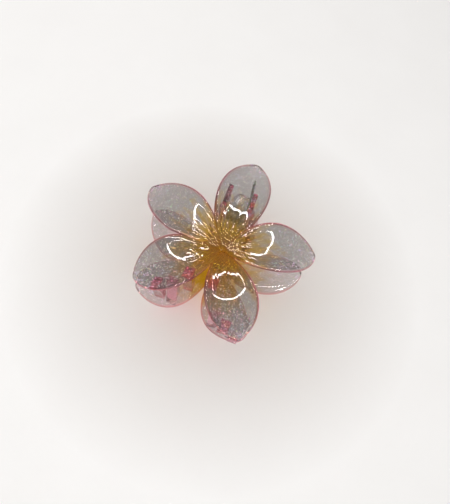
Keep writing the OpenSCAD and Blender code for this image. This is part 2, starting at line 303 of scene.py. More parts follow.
def petal_lengths(f):
    """Lengths of the five petals, in their order round the flower."""
    return (f.top_length, f.upper_left_length, f.lower_left_length, f.lower_right_length,
            f.upper_right_length)


def petal_half_widths(f):
    """Half widths of the five petals, in the same order."""
    return (f.top_half_width, f.side_half_width, f.lower_left_half_width, f.lower_right_half_width,
            f.side_half_width)


def petal_droops(f):
    """How far each petal's tip bends back, in the same order."""
    return (f.side_droop, f.side_droop, f.left_droop, f.right_droop, f.side_droop)


def swell(u):
    """u to the base power times (1 - u) to the tip power, over its own highest value."""
    widest = BASE_POWER / (BASE_POWER + TIP_POWER)
    top = widest ** BASE_POWER * (1 - widest) ** TIP_POWER
    return u ** BASE_POWER * (1 - u) ** TIP_POWER / top


def ease(t):
    """t held between 0 and 1, then 3 t squared less 2 t cubed."""
    t = np.clip(t, 0, 1)
    return t * t * (3 - 2 * t)


def petal_edges(f, i, a, lap=0.0):
    """Right and left edge at distance a: the swelling outline round a leaning middle, cut by the lines
    to the two neighbours, which it may lap over a little."""
    u = a / petal_lengths(f)[i]
    middle = LEAN[i] * u * u
    half = petal_half_widths(f)[i] * swell(u)
    left = a * math.tan(math.radians(JOINT_LINES[i + 1] - TURN[i])) + lap
    right = -a * math.tan(math.radians(TURN[i] - JOINT_LINES[i])) - lap
    return np.maximum(right, middle - half), np.minimum(left, middle + half)


def petal_height(f, i, a, b):
    """Height of the wall's middle: an arch along the petal, less the tip's bend, plus raised long edges
    and the pinwheel's tilt."""
    u = a / petal_lengths(f)[i]
    arch = f.arch * (1 - ((u - ARCH_AT) / ARCH_AT) ** 2)
    cup = f.cup * (b / petal_half_widths(f)[i]) ** 2 * np.minimum(1, u / CUP_FULL_AT)
    return arch - petal_droops(f)[i] * u ** 3 + cup + f.twist * b * u


def height_at(f, i, x, y):
    """petal_height at a point given across and along the whole flower."""
    t = math.radians(TURN[i])
    return petal_height(f, i, y * math.cos(t) - x * math.sin(t), -x * math.cos(t) - y * math.sin(t))


def flower_place(i, a, b):
    """Turns distances along and across petal i into the flower's own x and y."""
    t = math.radians(TURN[i])
    return -a * math.sin(t) - b * math.cos(t), a * math.cos(t) - b * math.sin(t)


def to_clip(points, front):
    """From a jaw's own frame, flower facing +Z, to the clip's frame. The rear jaw is mirrored in Z, and
    the front one turns by twice the half angle about the hinge."""
    h = bpy.context.scene.hinge_sizes
    p = np.array(points, float)
    if not front:
        return p * (1, 1, -1) + HINGE - (0, h.up, h.depth)
    y, z = p[..., 1] - h.up, p[..., 2] + h.depth
    c, s = math.cos(2 * h.half_angle), math.sin(2 * h.half_angle)
    return np.stack((p[..., 0], y * c - z * s, y * s + z * c), -1) + HINGE


def mesh_piece(name, points, faces, smooth=True, glow=None):
    """A mesh object from an array of points and a list or array of faces, with its normals outwards. Its
    glow, from 0 to 1 at each point, says where the edges of the plastic light up."""
    mesh = bpy.data.meshes.new(name)
    corners = np.asarray(points, float).reshape(-1, 3).tolist()
    mesh.from_pydata(corners, [], [list(map(int, f)) for f in faces])
    mesh.validate()
    if glow is not None:
        mesh.attributes.new("edge_glow", "FLOAT", "POINT").data.foreach_set("value", np.ravel(glow))
    piece = bpy.data.objects.new(name, mesh)
    bpy.context.scene.collection.objects.link(piece)
    if signed_volume(mesh) < 0:
        mesh.flip_normals()
    mesh.polygons.foreach_set("use_smooth", np.full(len(mesh.polygons), smooth))
    return piece


def signed_volume(mesh):
    """Six times the volume inside: the sum over triangles of corner one dot (two cross three)."""
    mesh.calc_loop_triangles()
    tris = np.zeros(len(mesh.loop_triangles) * 3, np.int32)
    mesh.loop_triangles.foreach_get("vertices", tris)
    co = np.zeros(len(mesh.vertices) * 3, np.float32)
    mesh.vertices.foreach_get("co", co)
    corner = co.reshape(-1, 3)[tris.reshape(-1, 3)].astype(float)
    return float(np.einsum("ij,ij->", corner[:, 0], np.cross(corner[:, 1], corner[:, 2])))


def ring_faces(rings, around):
    """Quads between neighbouring rings of points, and one flat face at each end."""
    k, m = np.meshgrid(np.arange(rings - 1), np.arange(around), indexing="ij")
    n = (m + 1) % around
    quads = np.stack((k * around + m, k * around + n, (k + 1) * around + n, (k + 1) * around + m), -1)
    ends = [list(range(around))[::-1], list(range((rings - 1) * around, rings * around))]
    return quads.reshape(-1, 4).tolist() + ends


def petal_surface(f, i, stations, across, round_steps):
    """A closed loop carried along the petal: across the top sheet, round one rim in a half circle, back
    under the bottom sheet and round the other rim. Folds and veins run along the top from the base, and
    a lip rises towards both rims. Also gives the glow of the rims."""
    length = petal_lengths(f)[i]
    s = np.linspace(0, 1, stations)
    a = (FIRST_STATION + (length * LAST_STATION - FIRST_STATION) * (1 - (1 - s) ** CROWDING))[:, None]
    low, high = petal_edges(f, i, a, LAP)
    middle, half = (low + high) / 2, (high - low) / 2
    thick = np.minimum(f.wall / 2, THICKEST * half)
    side = np.linspace(-1, 1, across)
    arc = np.linspace(0, math.pi, round_steps + 2)[1:-1]
    lean = np.concatenate((side, np.ones(round_steps), side[::-1], -np.ones(round_steps)))
    out = np.concatenate((np.zeros(across), np.sin(arc), np.zeros(across), -np.sin(arc)))
    up = np.concatenate((np.ones(across), np.cos(arc), -np.ones(across), -np.cos(arc)))
    b = middle + lean * (half - thick) + out * thick
    u = a / length
    long_fade = ease(u / BASE_FADE) * ease((FOLD_REACH[i] - u) / FOLD_FADE)
    short_fade = ease(u / BASE_FADE) * ease((VEIN_REACH - u) / FOLD_FADE)
    folds = 0.5 - 0.5 * np.cos(math.pi * FOLD_COUNT[i] * (lean + FOLD_SLANT * u))
    veins = 0.5 - 0.5 * np.cos(2 * math.pi * VEIN_COUNT * lean + 2 * i)
    steep = (half / petal_half_widths(f)[i]) ** FLATTENING
    on_top = up > 0.5
    grooves = steep * (f.fold_depth * long_fade * folds + f.vein_depth * short_fade * veins) * on_top
    lip = f.rim_height * ease((np.abs(lean) - LIP_FROM) / LIP_WIDTH) * ease(u / LIP_FADE)
    z = petal_height(f, i, a, b) + up * thick + lip - grooves
    x, y = flower_place(i, a, b)
    glow = np.abs(out) * np.clip(u / LIP_FADE, 0, 1)
    return np.stack(np.broadcast_arrays(x, y, z), -1), glow


def standing_plate(outline, x, width):
    """An outline in (y, z) carried across the clip from side to side, pulled in by the bevel at both
    faces. Its last third glows."""
    p = np.array(outline, float)
    inner = p.mean(0)
    pull = 1 - BEVEL / np.abs(p - inner).max()
    edge = BEVEL / width
    rings = []
    for place, scale in ((-0.5, pull), (-0.5 + edge, 1), (0.5 - edge, 1), (0.5, pull)):
        q = inner + (p - inner) * scale
        rings.append(np.column_stack((np.full(len(q), x + place * width), q)))
    rings = np.array(rings)
    depth = rings[..., 2].max() - rings[..., 2]
    return rings, BASE_GLOW + (1 - BASE_GLOW) * np.clip(depth / depth.max() * 3 - 2, 0, 1)


def lug_outline(f, h, x):
    """From inside the top petal's wall down to a half circle round the hinge axis."""
    y = h.up - LUG_ROOT_BELOW * h.lug_root + h.lug_root * np.linspace(0, 1, LUG_POINTS)
    root = np.column_stack((y, height_at(f, TOP, x, y) - ROOT_DEPTH))
    t = np.linspace(0, math.pi, LUG_END_POINTS)
    end = np.column_stack((h.up + h.lug_radius * np.cos(t), -h.depth - h.lug_radius * np.sin(t)))
    return np.vstack((root, end))


def tooth_outline(f, h, i, x):
    """A tapering blade with a bowed middle: it starts inside the petal's wall and reaches towards the
    other jaw, to just short of its petal."""
    length = petal_lengths(f)[i]
    a = length * np.linspace(EDGE_FROM, EDGE_TO, EDGE_POINTS)
    low, high = petal_edges(f, i, a)
    b = high - TOOTH_INSET if i == LOWER_LEFT else low + TOOTH_INSET
    px, py = flower_place(i, a, b)
    order = np.argsort(px)
    y0 = float(np.interp(x, px[order], py[order]))
    root_y = y0 + TOOTH_ROOT * (0.5 - np.linspace(0, 1, TOOTH_POINTS))
    root = np.column_stack((root_y, height_at(f, i, x, root_y) - ROOT_DEPTH))
    inner = float(height_at(f, i, x, y0)) - f.wall / 2
    start = root[:, 1].min()
    mid = -h.depth + (h.up - y0) * math.tan(h.half_angle)
    end = min(2 * mid - inner + TOOTH_END_GAP, start - SHORTEST_TOOTH)
    s = np.linspace(0, 1, SPINE_POINTS)[1:]
    spine_y = y0 - TOOTH_BOW * s * s
    half = (TOOTH_ROOT + (TOOTH_TIP - TOOTH_ROOT) * s) / 2
    z = start + (end - start) * s
    right = np.column_stack((spine_y - half, z))
    left = np.column_stack((spine_y + half, z))[::-1]
    t = np.linspace(math.pi, 0, TIP_POINTS)[1:-1]
    tip = np.column_stack((spine_y[-1] + half[-1] * np.cos(t), end - TIP_ROUND * np.sin(t)))
    return np.vstack((root, right, tip, left))


def jaw_parts(f, h, front):
    """Point rings and glow of every closed form in one jaw: five petals, its teeth and its two lugs. The
    front jaw has the even tooth columns, and the rear jaw the odd ones."""
    parts = [petal_surface(f, i, stations=90, across=45, round_steps=7) for i in range(PETAL_COUNT)]
    for k in range(COLUMN_COUNT):
        i = LOWER_LEFT if k < EMPTY_COLUMN else LOWER_RIGHT
        if k != EMPTY_COLUMN and k % 2 == (0 if front else 1):
            x = h.first_column + k * h.tooth_pitch
            parts.append(standing_plate(tooth_outline(f, h, i, x), x, h.tooth_width))
    lug_x = h.front_lug_x if front else h.rear_lug_x
    for x in (-lug_x, lug_x):
        parts.append(standing_plate(lug_outline(f, h, x), x, h.lug_thickness))
    return parts


def cylinder_rings(radius, reach, around):
    """Two circles about the hinge axis, at plus and minus reach."""
    t = np.linspace(0, 2 * math.pi, around, endpoint=False)
    ring = np.stack((np.zeros(around), radius * np.cos(t), radius * np.sin(t)), -1)
    return np.stack((ring - (reach, 0, 0), ring + (reach, 0, 0)))


def moulded(name, front):
    """One jaw as one moulding: all its forms are joined, and the bore is cut through the lugs."""
    f, h = sizes()
    parts = [mesh_piece(f"{name}_{n}", to_clip(rings, front), ring_faces(*rings.shape[:2]), glow=glow)
             for n, (rings, glow) in enumerate(jaw_parts(f, h, front))]
    circles = cylinder_rings(h.bore_radius, BORE_REACH, PIN_SIDES) + HINGE
    shape = circles.shape[:2]
    bore = mesh_piece(f"{name}_bore", circles, ring_faces(*shape), glow=np.ones(shape))
    jaw, others = parts[0], parts[1:]
    for tool, operation in [(p, "UNION") for p in others] + [(bore, "DIFFERENCE")]:
        cut = jaw.modifiers.new(tool.name, "BOOLEAN")
        cut.object, cut.operation, cut.solver = tool, operation, "MANIFOLD"
    bpy.context.view_layer.update()
    mesh = bpy.data.meshes.new_from_object(jaw.evaluated_get(bpy.context.evaluated_depsgraph_get()))
    jaw.modifiers.clear()
    jaw.data = mesh
    jaw.name = mesh.name = name
    for tool in [*others, bore]:
        bpy.data.objects.remove(tool)
    if len(mesh.polygons) < FEWEST_FACES:
        raise RuntimeError(f"{name} came out with only {len(mesh.polygons)} faces")
    mesh.polygons.foreach_set("use_smooth", np.ones(len(mesh.polygons), bool))
    mesh.set_sharp_from_angle(angle=MOULDING_CREASE)
    return jaw


def flake_cloud(f, i, count, rng):
    """Four-sided flakes inside a petal's wall: even random places over its outline, each flake turned
    at random about its middle."""
    a = petal_lengths(f)[i] * np.sqrt(rng.uniform(*FLAKE_REACH, count))
    low, high = petal_edges(f, i, a)
    b = (low + high) / 2 + (high - low) / 2 * rng.uniform(-FLAKE_SPREAD, FLAKE_SPREAD, count)
    z = petal_height(f, i, a, b) + f.wall * rng.uniform(-FLAKE_DEPTH, FLAKE_DEPTH, count)
    x, y = flower_place(i, a, b)
    centre = np.stack((x, y, z), -1)
    normal = np.array((0, 0, 1)) + rng.normal(0, FLAKE_TILT, (count, 3))
    normal /= np.linalg.norm(normal, axis=1)[:, None]
    one = np.cross(normal, FLAKE_LINE)
    one /= np.linalg.norm(one, axis=1)[:, None]
    two = np.cross(normal, one)
    radius = rng.uniform(*FLAKE_RADII, count)[:, None, None]
    t = np.linspace(0, 2 * math.pi, FLAKE_SIDES, endpoint=False)[None, :, None]
    ring = radius * (np.cos(t) * one[:, None] + np.sin(t) * two[:, None])
    lift = FLAKE_HALF_THICKNESS * normal[:, None]
    return centre[:, None] + np.concatenate((ring, lift, -lift), 1)


def flakes(name, front, count, seed):
    """Glitter of one jaw: thin plates, each a very flat pair of four-sided pyramids."""
    f, _ = sizes()
    rng = np.random.default_rng(seed)
    points = to_clip(np.concatenate([flake_cloud(f, i, count, rng) for i in range(PETAL_COUNT)]), front)
    sides = [(m, (m + 1) % FLAKE_SIDES) for m in range(FLAKE_SIDES)]
    plate = np.array([(m, n, FLAKE_SIDES) for m, n in sides] + [(n, m, FLAKE_SIDES + 1) for m, n in sides])
    faces = plate[None] + (FLAKE_SIDES + 2) * np.arange(len(points))[:, None, None]
    return mesh_piece(name, points, faces.reshape(-1, 3), smooth=False)


def coil_sweep(h):
    """Angle of the helix between the two legs, and its length along the hinge."""
    sweep = 2 * math.pi * (h.coil_turns + 1) - 2 * COIL_START
    return sweep, h.coil_pitch * sweep / (2 * math.pi)


def wire_path(f, h):
    """Centre line of the torsion spring, from the hinge, in the plane midway between the jaws: a leg
    from the rear petal, the helix, and a leg to the front petal."""
    sweep, length = coil_sweep(h)
    leg_z = height_at(f, TOP, length / 2, h.leg_rest) - f.wall / 2 - h.wire / 2 - LEG_GAP + h.depth
    leg_y = h.leg_rest - h.up
    c, s = math.cos(h.half_angle), math.sin(h.half_angle)
    away, out = leg_y * c - leg_z * s, leg_y * s + leg_z * c
    ends = [np.array((k * length / 2, away, k * out)) for k in (-1, 1)]
    t = np.linspace(0, 1, HELIX_STEPS)[:, None]
    angle = COIL_START + sweep * t
    helix = np.hstack((length * (t - 0.5), h.coil_radius * np.cos(angle), h.coil_radius * np.sin(angle)))
    w = np.linspace(0, 1, LEG_STEPS)[:, None]
    leg_in = ends[0] + (helix[0] - ends[0]) * w[:-1]
    leg_out = helix[-1] + (ends[1] - helix[-1]) * w[1:]
    return np.vstack((leg_in, helix, leg_out))


def tube(path, radius):
    """Circles square to a path: each is radius times cosine and sine along two directions across it.
    The two ends are drawn in."""
    tangent = np.gradient(path, axis=0)
    tangent /= np.linalg.norm(tangent, axis=1)[:, None]
    one = np.array((1.0, 0, 0)) - tangent * tangent[:, :1]
    one /= np.linalg.norm(one, axis=1)[:, None]
    two = np.cross(tangent, one)
    t = np.linspace(0, 2 * math.pi, WIRE_SIDES, endpoint=False)
    scale = np.full(len(path), radius)
    scale[[0, -1]] *= NOSE
    circle = np.cos(t)[None, :, None] * one[:, None] + np.sin(t)[None, :, None] * two[:, None]
    return path[:, None] + circle * scale[:, None, None]


def turned_rod(h):
    """The pin: a radius for each place along the hinge axis, turned round it. The heads are domed."""
    reach = h.rear_lug_x + h.lug_thickness / 2 + HEAD_GAP
    t = np.linspace(0, math.pi / 2, DOME_POINTS)
    dome_x = reach + HEAD_SIDE + DOME_HEIGHT * np.sin(t)
    dome_r = h.head_radius * (DOME_FLAT + (1 - DOME_FLAT) * np.cos(t))
    half_x = np.concatenate(((0, reach, reach), dome_x))
    half_r = np.concatenate(((h.pin_radius, h.pin_radius, h.head_radius), dome_r))
    x = np.concatenate((-half_x[::-1], half_x[1:]))
    r = np.concatenate((half_r[::-1], half_r[1:]))
    a = np.linspace(0, 2 * math.pi, PIN_SIDES, endpoint=False)
    x, r = np.repeat(x[:, None], PIN_SIDES, 1), r[:, None]
    return np.stack((x, r * np.cos(a), r * np.sin(a)), -1)


def new_material(name):
    """A material with an empty node tree."""
    material = bpy.data.materials.new(name)
    material.use_nodes = True
    material.node_tree.nodes.clear()
    return material, material.node_tree


def new_node(tree, kind, vector=None, **values):
    """A node whose vector may come from a socket, with input values by name; an underscore in a name
    stands for a space."""
    node = tree.nodes.new(kind)
    if vector is not None:
        tree.links.new(vector, node.inputs["Vector"])
    for name, value in values.items():
        node.inputs[name.replace("_", " ")].default_value = value
    return node


def put_out(tree, surface):
    """Links a shader to the surface of a new material output."""
    output = tree.nodes.new("ShaderNodeOutputMaterial")
    tree.links.new(surface, output.inputs["Surface"])
    return output


def add_bump(tree, shader, height, strength, distance):
    """Bumps a shader's normal by a height socket."""
    bump = new_node(tree, "ShaderNodeBump", Strength=strength, Distance=distance)
    tree.links.new(height, bump.inputs["Height"])
    tree.links.new(bump.outputs[0], shader.inputs["Normal"])


def math_node(tree, operation, *values, clamp=False):
    """A Math node; each input is a socket or a number."""
    node = tree.nodes.new("ShaderNodeMath")
    node.operation, node.use_clamp = operation, clamp
    for socket, value in zip(node.inputs, values):
        if isinstance(value, (int, float)):
            socket.default_value = value
        else:
            tree.links.new(value, socket)
    return node.outputs[0]


def mix_colour(tree, factor, one, two, blend="MIX"):
    """A colour Mix node; factor and colours are sockets or values."""
    node = tree.nodes.new("ShaderNodeMix")
    node.data_type, node.blend_type = "RGBA", blend
    for socket, value in ((node.inputs[0], factor), (node.inputs[6], one), (node.inputs[7], two)):
        if hasattr(value, "is_linked"):
            tree.links.new(value, socket)
        elif isinstance(value, (int, float)):
            socket.default_value = value
        else:
            socket.default_value = (*value[:3], 1)
    return node.outputs[2]


def speckle_group():
    """Node group: scattered grains as a mask, the grains' own tones, and a slow cloudiness."""
    group = bpy.data.node_groups.new("Moulding Grain", "ShaderNodeTree")
    for name, way, kind in (("Vector", "INPUT", "Vector"), ("Scale", "INPUT", "Float"),
                            ("Grain", "OUTPUT", "Float"), ("Cloud", "OUTPUT", "Float"),
                            ("Tone", "OUTPUT", "Color")):
        group.interface.new_socket(name, in_out=way, socket_type=f"NodeSocket{kind}")
    source, sink = group.nodes.new("NodeGroupInput"), group.nodes.new("NodeGroupOutput")
    cells = new_node(group, "ShaderNodeTexVoronoi", source.outputs["Vector"])
    group.links.new(source.outputs["Scale"], cells.inputs["Scale"])
    split = group.nodes.new("ShaderNodeSeparateColor")
    group.links.new(cells.outputs["Color"], split.inputs[0])
    chosen = math_node(group, "GREATER_THAN", split.outputs[0], GRAIN_CHOICE)
    near = math_node(group, "LESS_THAN", cells.outputs["Distance"], GRAIN_SIZE)
    cloud = new_node(group, "ShaderNodeTexNoise", source.outputs["Vector"], Scale=180, Detail=4)
    group.links.new(math_node(group, "MULTIPLY", chosen, near), sink.inputs["Grain"])
    group.links.new(cloud.outputs["Fac"], sink.inputs["Cloud"])
    group.links.new(cells.outputs["Color"], sink.inputs["Tone"])
    return group


def grain_node(tree, vector, scale):
    """The moulding grain group, built once, in a material's tree."""
    node = tree.nodes.new("ShaderNodeGroup")
    node.node_tree = bpy.data.node_groups.get("Moulding Grain") or speckle_group()
    tree.links.new(vector, node.inputs["Vector"])
    node.inputs["Scale"].default_value = scale
    return node


def flower_axes(tree, front):
    """Object coordinates moved to the flower's centre and turned level with it."""
    h = bpy.context.scene.hinge_sizes
    centre = to_clip(np.zeros((1, 3)), front)[0]
    coordinate = tree.nodes.new("ShaderNodeTexCoord")
    mapping = tree.nodes.new("ShaderNodeMapping")
    mapping.vector_type = "TEXTURE"
    mapping.inputs["Location"].default_value = centre
    mapping.inputs["Rotation"].default_value = (2 * h.half_angle if front else 0, 0, 0)
    tree.links.new(coordinate.outputs["Object"], mapping.inputs["Vector"])
    return coordinate.outputs["Object"], mapping.outputs["Vector"]


def yellow_tint(tree, local):
    """From coordinates at the flower's centre: how strong the yellow is, which fades out in streaks,
    and its colour, which turns to orange in the throat."""
    colours = bpy.context.scene.finish_colours
    split = tree.nodes.new("ShaderNodeSeparateXYZ")
    tree.links.new(local, split.inputs[0])
    x, y = split.outputs[0], split.outputs[1]
    depth = math_node(tree, "MULTIPLY", split.outputs[2], DEPTH_WEIGHT)
    flat = math_node(tree, "ADD", math_node(tree, "MULTIPLY", x, x), math_node(tree, "MULTIPLY", y, y))
    reach = math_node(tree, "SQRT", math_node(tree, "ADD", flat, math_node(tree, "MULTIPLY", depth, depth)))
    angle = math_node(tree, "ARCTAN2", y, x)
    around = tree.nodes.new("ShaderNodeCombineXYZ")
    tree.links.new(math_node(tree, "COSINE", angle), around.inputs[0])
    tree.links.new(math_node(tree, "SINE", angle), around.inputs[1])
    tree.links.new(math_node(tree, "MULTIPLY", reach, STREAK_RATE), around.inputs[2])
    streaks = new_node(tree, "ShaderNodeTexNoise", around.outputs[0], Scale=9, Detail=5).outputs["Fac"]
    spread = math_node(tree, "MULTIPLY_ADD", streaks, STREAK_SPREAD, LEAST_SPREAD)
    tint = math_node(tree, "SUBTRACT", 1.0, math_node(tree, "DIVIDE", reach, spread), clamp=True)
    tint = math_node(tree, "POWER", tint, TINT_FADE)
    core = math_node(tree, "SUBTRACT", 1.0, math_node(tree, "DIVIDE", reach, THROAT_REACH), clamp=True)
    colour = mix_colour(tree, math_node(tree, "MULTIPLY", streaks, core), colours.centre, colours.throat)
    return math_node(tree, "MULTIPLY", tint, TINT_STRENGTH, clamp=True), colour


def clear_plastic(name, front):
    """Clear plastic with a yellow centre and fine grains. Its rims and slanting faces take the rim colour
    as a painted glow, long paths through it turn pink, and lamps shine through it."""
    colours = bpy.context.scene.finish_colours
    material, tree = new_material(name)
    raw, local = flower_axes(tree, front)
    tint, yellow = yellow_tint(tree, local)
    # The rear jaw takes the lighter tint, which is painted light.
    base = mix_colour(tree, tint, colours.plastic if front else colours.rear_plastic_painted_lighter, yellow)
    speck = grain_node(tree, raw, scale=2600)
    grain = math_node(tree, "MULTIPLY", speck.outputs["Grain"], GRAIN_STRENGTH)
    grained = mix_colour(tree, grain, base, speck.outputs["Tone"], "MULTIPLY")
    facing = new_node(tree, "ShaderNodeLayerWeight", Blend=0.35).outputs["Facing"]
    edge = tree.nodes.new("ShaderNodeAttribute")
    edge.attribute_name = "edge_glow"
    # Painted glow: the rim colour goes onto slanting faces and along the glowing edges.
    slant = math_node(tree, "MULTIPLY", math_node(tree, "POWER", facing, SLANT_POWER), SLANT_PAINTED_GLOW)
    glow = math_node(tree, "MULTIPLY", edge.outputs["Fac"], EDGE_PAINTED_GLOW)
    shader = new_node(tree, "ShaderNodeBsdfPrincipled", Transmission_Weight=0.94, IOR=1.47)
    rim = math_node(tree, "ADD", slant, glow, clamp=True)
    tree.links.new(mix_colour(tree, rim, grained, colours.rim), shader.inputs["Base Color"])
    rough = math_node(tree, "MULTIPLY_ADD", speck.outputs["Cloud"], ROUGH_SPREAD, LEAST_ROUGH)
    tree.links.new(rough, shader.inputs["Roughness"])
    add_bump(tree, shader, speck.outputs["Cloud"], strength=0.05, distance=0.0002)
    through = new_node(tree, "ShaderNodeBsdfTransparent", Color=SHADOW_TINT)
    path = tree.nodes.new("ShaderNodeLightPath")
    mix = tree.nodes.new("ShaderNodeMixShader")
    tree.links.new(path.outputs["Is Shadow Ray"], mix.inputs[0])
    tree.links.new(shader.outputs[0], mix.inputs[1])
    tree.links.new(through.outputs[0], mix.inputs[2])
    inside = new_node(tree, "ShaderNodeVolumeAbsorption", Color=(*colours.edge, 1), Density=ABSORPTION)
    output = put_out(tree, mix.outputs[0])
    tree.links.new(inside.outputs[0], output.inputs["Volume"])
    return material


def metal(name, colour, roughness, wear):
    """Drawn steel: fine grains in its roughness, darker stains in its colour."""
    material, tree = new_material(name)
    place = tree.nodes.new("ShaderNodeTexCoord").outputs["Object"]
    cloud = grain_node(tree, place, scale=5000).outputs["Cloud"]
    fine = new_node(tree, "ShaderNodeTexNoise", place, Scale=2200, Detail=6).outputs["Fac"]
    shader = new_node(tree, "ShaderNodeBsdfPrincipled", Metallic=1)
    dark = tuple(STAIN_SHADE * c for c in colour)
    patches = math_node(tree, "SUBTRACT", cloud, STAIN_LEVEL, clamp=True)
    stain = math_node(tree, "MULTIPLY", patches, wear)
    tree.links.new(mix_colour(tree, stain, colour, dark), shader.inputs["Base Color"])
    rough = math_node(tree, "MULTIPLY_ADD", fine, STEEL_ROUGH_SPREAD, roughness)
    tree.links.new(rough, shader.inputs["Roughness"])
    add_bump(tree, shader, fine, strength=0.25, distance=0.00005)
    put_out(tree, shader.outputs[0])
    return material


def glitter_foil_painted_glints(name):
    """Bright foil whose hue changes from flake to flake. It glows in that hue as painted glints."""
    material, tree = new_material(name)
    place = tree.nodes.new("ShaderNodeTexCoord").outputs["Object"]
    cells = new_node(tree, "ShaderNodeTexVoronoi", place, Scale=900)
    # Painted glints: the emission makes each flake shine by itself in its hue, in place of lamp light
    # glinting off it.
    shader = new_node(
        tree, "ShaderNodeBsdfPrincipled", Emission_Strength=1.5, Metallic=1, Roughness=0.25)
    tone = mix_colour(tree, 0.5, (0.95, 0.92, 0.95), cells.outputs["Color"])
    tree.links.new(tone, shader.inputs["Base Color"])
    tree.links.new(tone, shader.inputs["Emission Color"])
    put_out(tree, shader.outputs[0])
    return material


def finish_piece(piece, material, body, slot, *nodes):
    """Gives a piece its material and its body, and hides the nodes that it stands for. Its slot is not
    used.
    """
    piece.data.materials.clear()
    piece.data.materials.append(material)
    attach(piece, body)
    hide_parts(*nodes)
    return piece


class FLOWER_OT_front_jaw(bpy.types.Operator):
    """Make the front flower jaw as one clear moulding"""

    bl_idname = "flower.front_jaw"
    bl_label = "Front Jaw"

    def execute(self, context):
        jaw = moulded("front_flower_jaw", True)
        plastic = clear_plastic("front_clear_plastic", True)
        nodes = [f"front_{n}" for n in JAW_NODES]
        finish_piece(jaw, plastic, "front_jaw", "clear_pink_plastic", *nodes)
        return {"FINISHED"}


class FLOWER_OT_rear_jaw(bpy.types.Operator):
    """Make the rear flower jaw as one clear moulding"""

    bl_idname = "flower.rear_jaw"
    bl_label = "Rear Jaw"

    def execute(self, context):
        jaw = moulded("rear_flower_jaw", False)
        plastic = clear_plastic("rear_clear_plastic", False)
        nodes = [f"rear_{n}" for n in JAW_NODES]
        finish_piece(jaw, plastic, "rear_jaw", "clear_pink_plastic", *nodes)
        return {"FINISHED"}


class FLOWER_OT_glitter(bpy.types.Operator):
    """Scatter glitter flakes inside the walls of both jaws"""

    bl_idname = "flower.glitter"
    bl_label = "Glitter"

    def execute(self, context):
        # The flakes' foil glows with painted glints.
        foil = glitter_foil_painted_glints("glitter_foil_painted_glints")
        for side, front, count, seed in GLITTER:
            cloud = flakes(f"{side}_glitter", front, count, seed)
            finish_piece(cloud, foil, f"{side}_jaw", "clear_pink_plastic")
        return {"FINISHED"}


class FLOWER_OT_spring(bpy.types.Operator):
    """Make the torsion spring from its centre line"""

    bl_idname = "flower.spring"
    bl_label = "Torsion Spring"

    def execute(self, context):
        f, h = sizes()
        rings = tube(wire_path(f, h), h.wire / 2)
        c, s = math.cos(h.half_angle), math.sin(h.half_angle)
        turned = np.stack((rings[..., 0], rings[..., 1] * c - rings[..., 2] * s,
                           rings[..., 1] * s + rings[..., 2] * c), -1) + HINGE
        spring = mesh_piece("spring_wire", turned, ring_faces(*turned.shape[:2]))
        colour = tuple(context.scene.finish_colours.spring)
        steel = metal("oiled_spring_steel", colour, roughness=0.28, wear=1.6)
        spring.data.materials.append(steel)
        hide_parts("torsion_spring")
        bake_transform(spring)
        return {"FINISHED"}


class FLOWER_OT_pin(bpy.types.Operator):
    """Make the hinge pin with its domed heads"""

    bl_idname = "flower.pin"
    bl_label = "Hinge Pin"

    def execute(self, context):
        rings = turned_rod(sizes()[1]) + HINGE
        pin = mesh_piece("pin_rod", rings, ring_faces(*rings.shape[:2]))
        pin.data.set_sharp_from_angle(angle=PIN_CREASE)
        colour = tuple(context.scene.finish_colours.pin)
        steel = metal("drawn_pin_steel", colour, roughness=0.22, wear=0.6)
        finish_piece(pin, steel, "rear_jaw", "pin_steel", "hinge_pin")
        return {"FINISHED"}


def floor_material():
    """Pale matt paper with a faint mottle, darker near the clip as painted shade, which turns paler further
    out.
    """
    material, tree = new_material("pale_paper")
    colours = bpy.context.scene.finish_colours
    place = tree.nodes.new("ShaderNodeTexCoord").outputs["Object"]
    mottle = new_node(tree, "ShaderNodeTexNoise", place, Scale=30).outputs["Fac"]
    length = new_node(tree, "ShaderNodeVectorMath")
    length.operation = "LENGTH"
    tree.links.new(place, length.inputs[0])
    # Painted shade: the floor is darker near the clip and fades out to the surround.
    past = math_node(tree, "SUBTRACT", length.outputs["Value"], SHADE_FADE_FROM)
    spread = math_node(tree, "DIVIDE", past, SHADE_FADE_WIDTH, clamp=True)
    painted_shade_gradient = mix_colour(tree, spread, tuple(colours.floor), tuple(colours.surround))
    factor = math_node(tree, "MULTIPLY", mottle, MOTTLE)
    shader = new_node(tree, "ShaderNodeBsdfPrincipled", Roughness=0.75)
    tree.links.new(mix_colour(tree, factor, painted_shade_gradient, tuple(colours.floor)), shader.inputs["Base Color"])
    put_out(tree, shader.outputs[0])
    return material


def camera_axes(studio):
    """Right, up and forward of the camera: forward tips down by the elevation, turned about the
    vertical, then right and up roll about it."""
    h = np.array((-math.sin(studio.turn), math.cos(studio.turn), 0))
    right = np.array((math.cos(studio.turn), math.sin(studio.turn), 0))
    vertical = np.array((0, 0, 1.0))
    forward = h * math.cos(studio.elevation) - vertical * math.sin(studio.elevation)
    up = h * math.sin(studio.elevation) + vertical * math.cos(studio.elevation)
    c, s = math.cos(studio.roll), math.sin(studio.roll)
    return right * c + up * s, up * c - right * s, forward


def lamp(name, place, target, size, power):
    """A square area lamp at a place, facing a target. It shows in no reflection."""
    light = bpy.data.lights.new(name, "AREA")
    light.shape, light.size, light.energy = "SQUARE", size, power
    lamp_object = bpy.data.objects.new(name, light)
    lamp_object.visible_glossy = False
    lamp_object.visible_transmission = False
    facing = (Vector(target) - Vector(place)).to_track_quat("-Z", "Y").to_matrix().to_4x4()
    lamp_object.matrix_world = Matrix.Translation(place) @ facing
    bpy.context.scene.collection.objects.link(lamp_object)


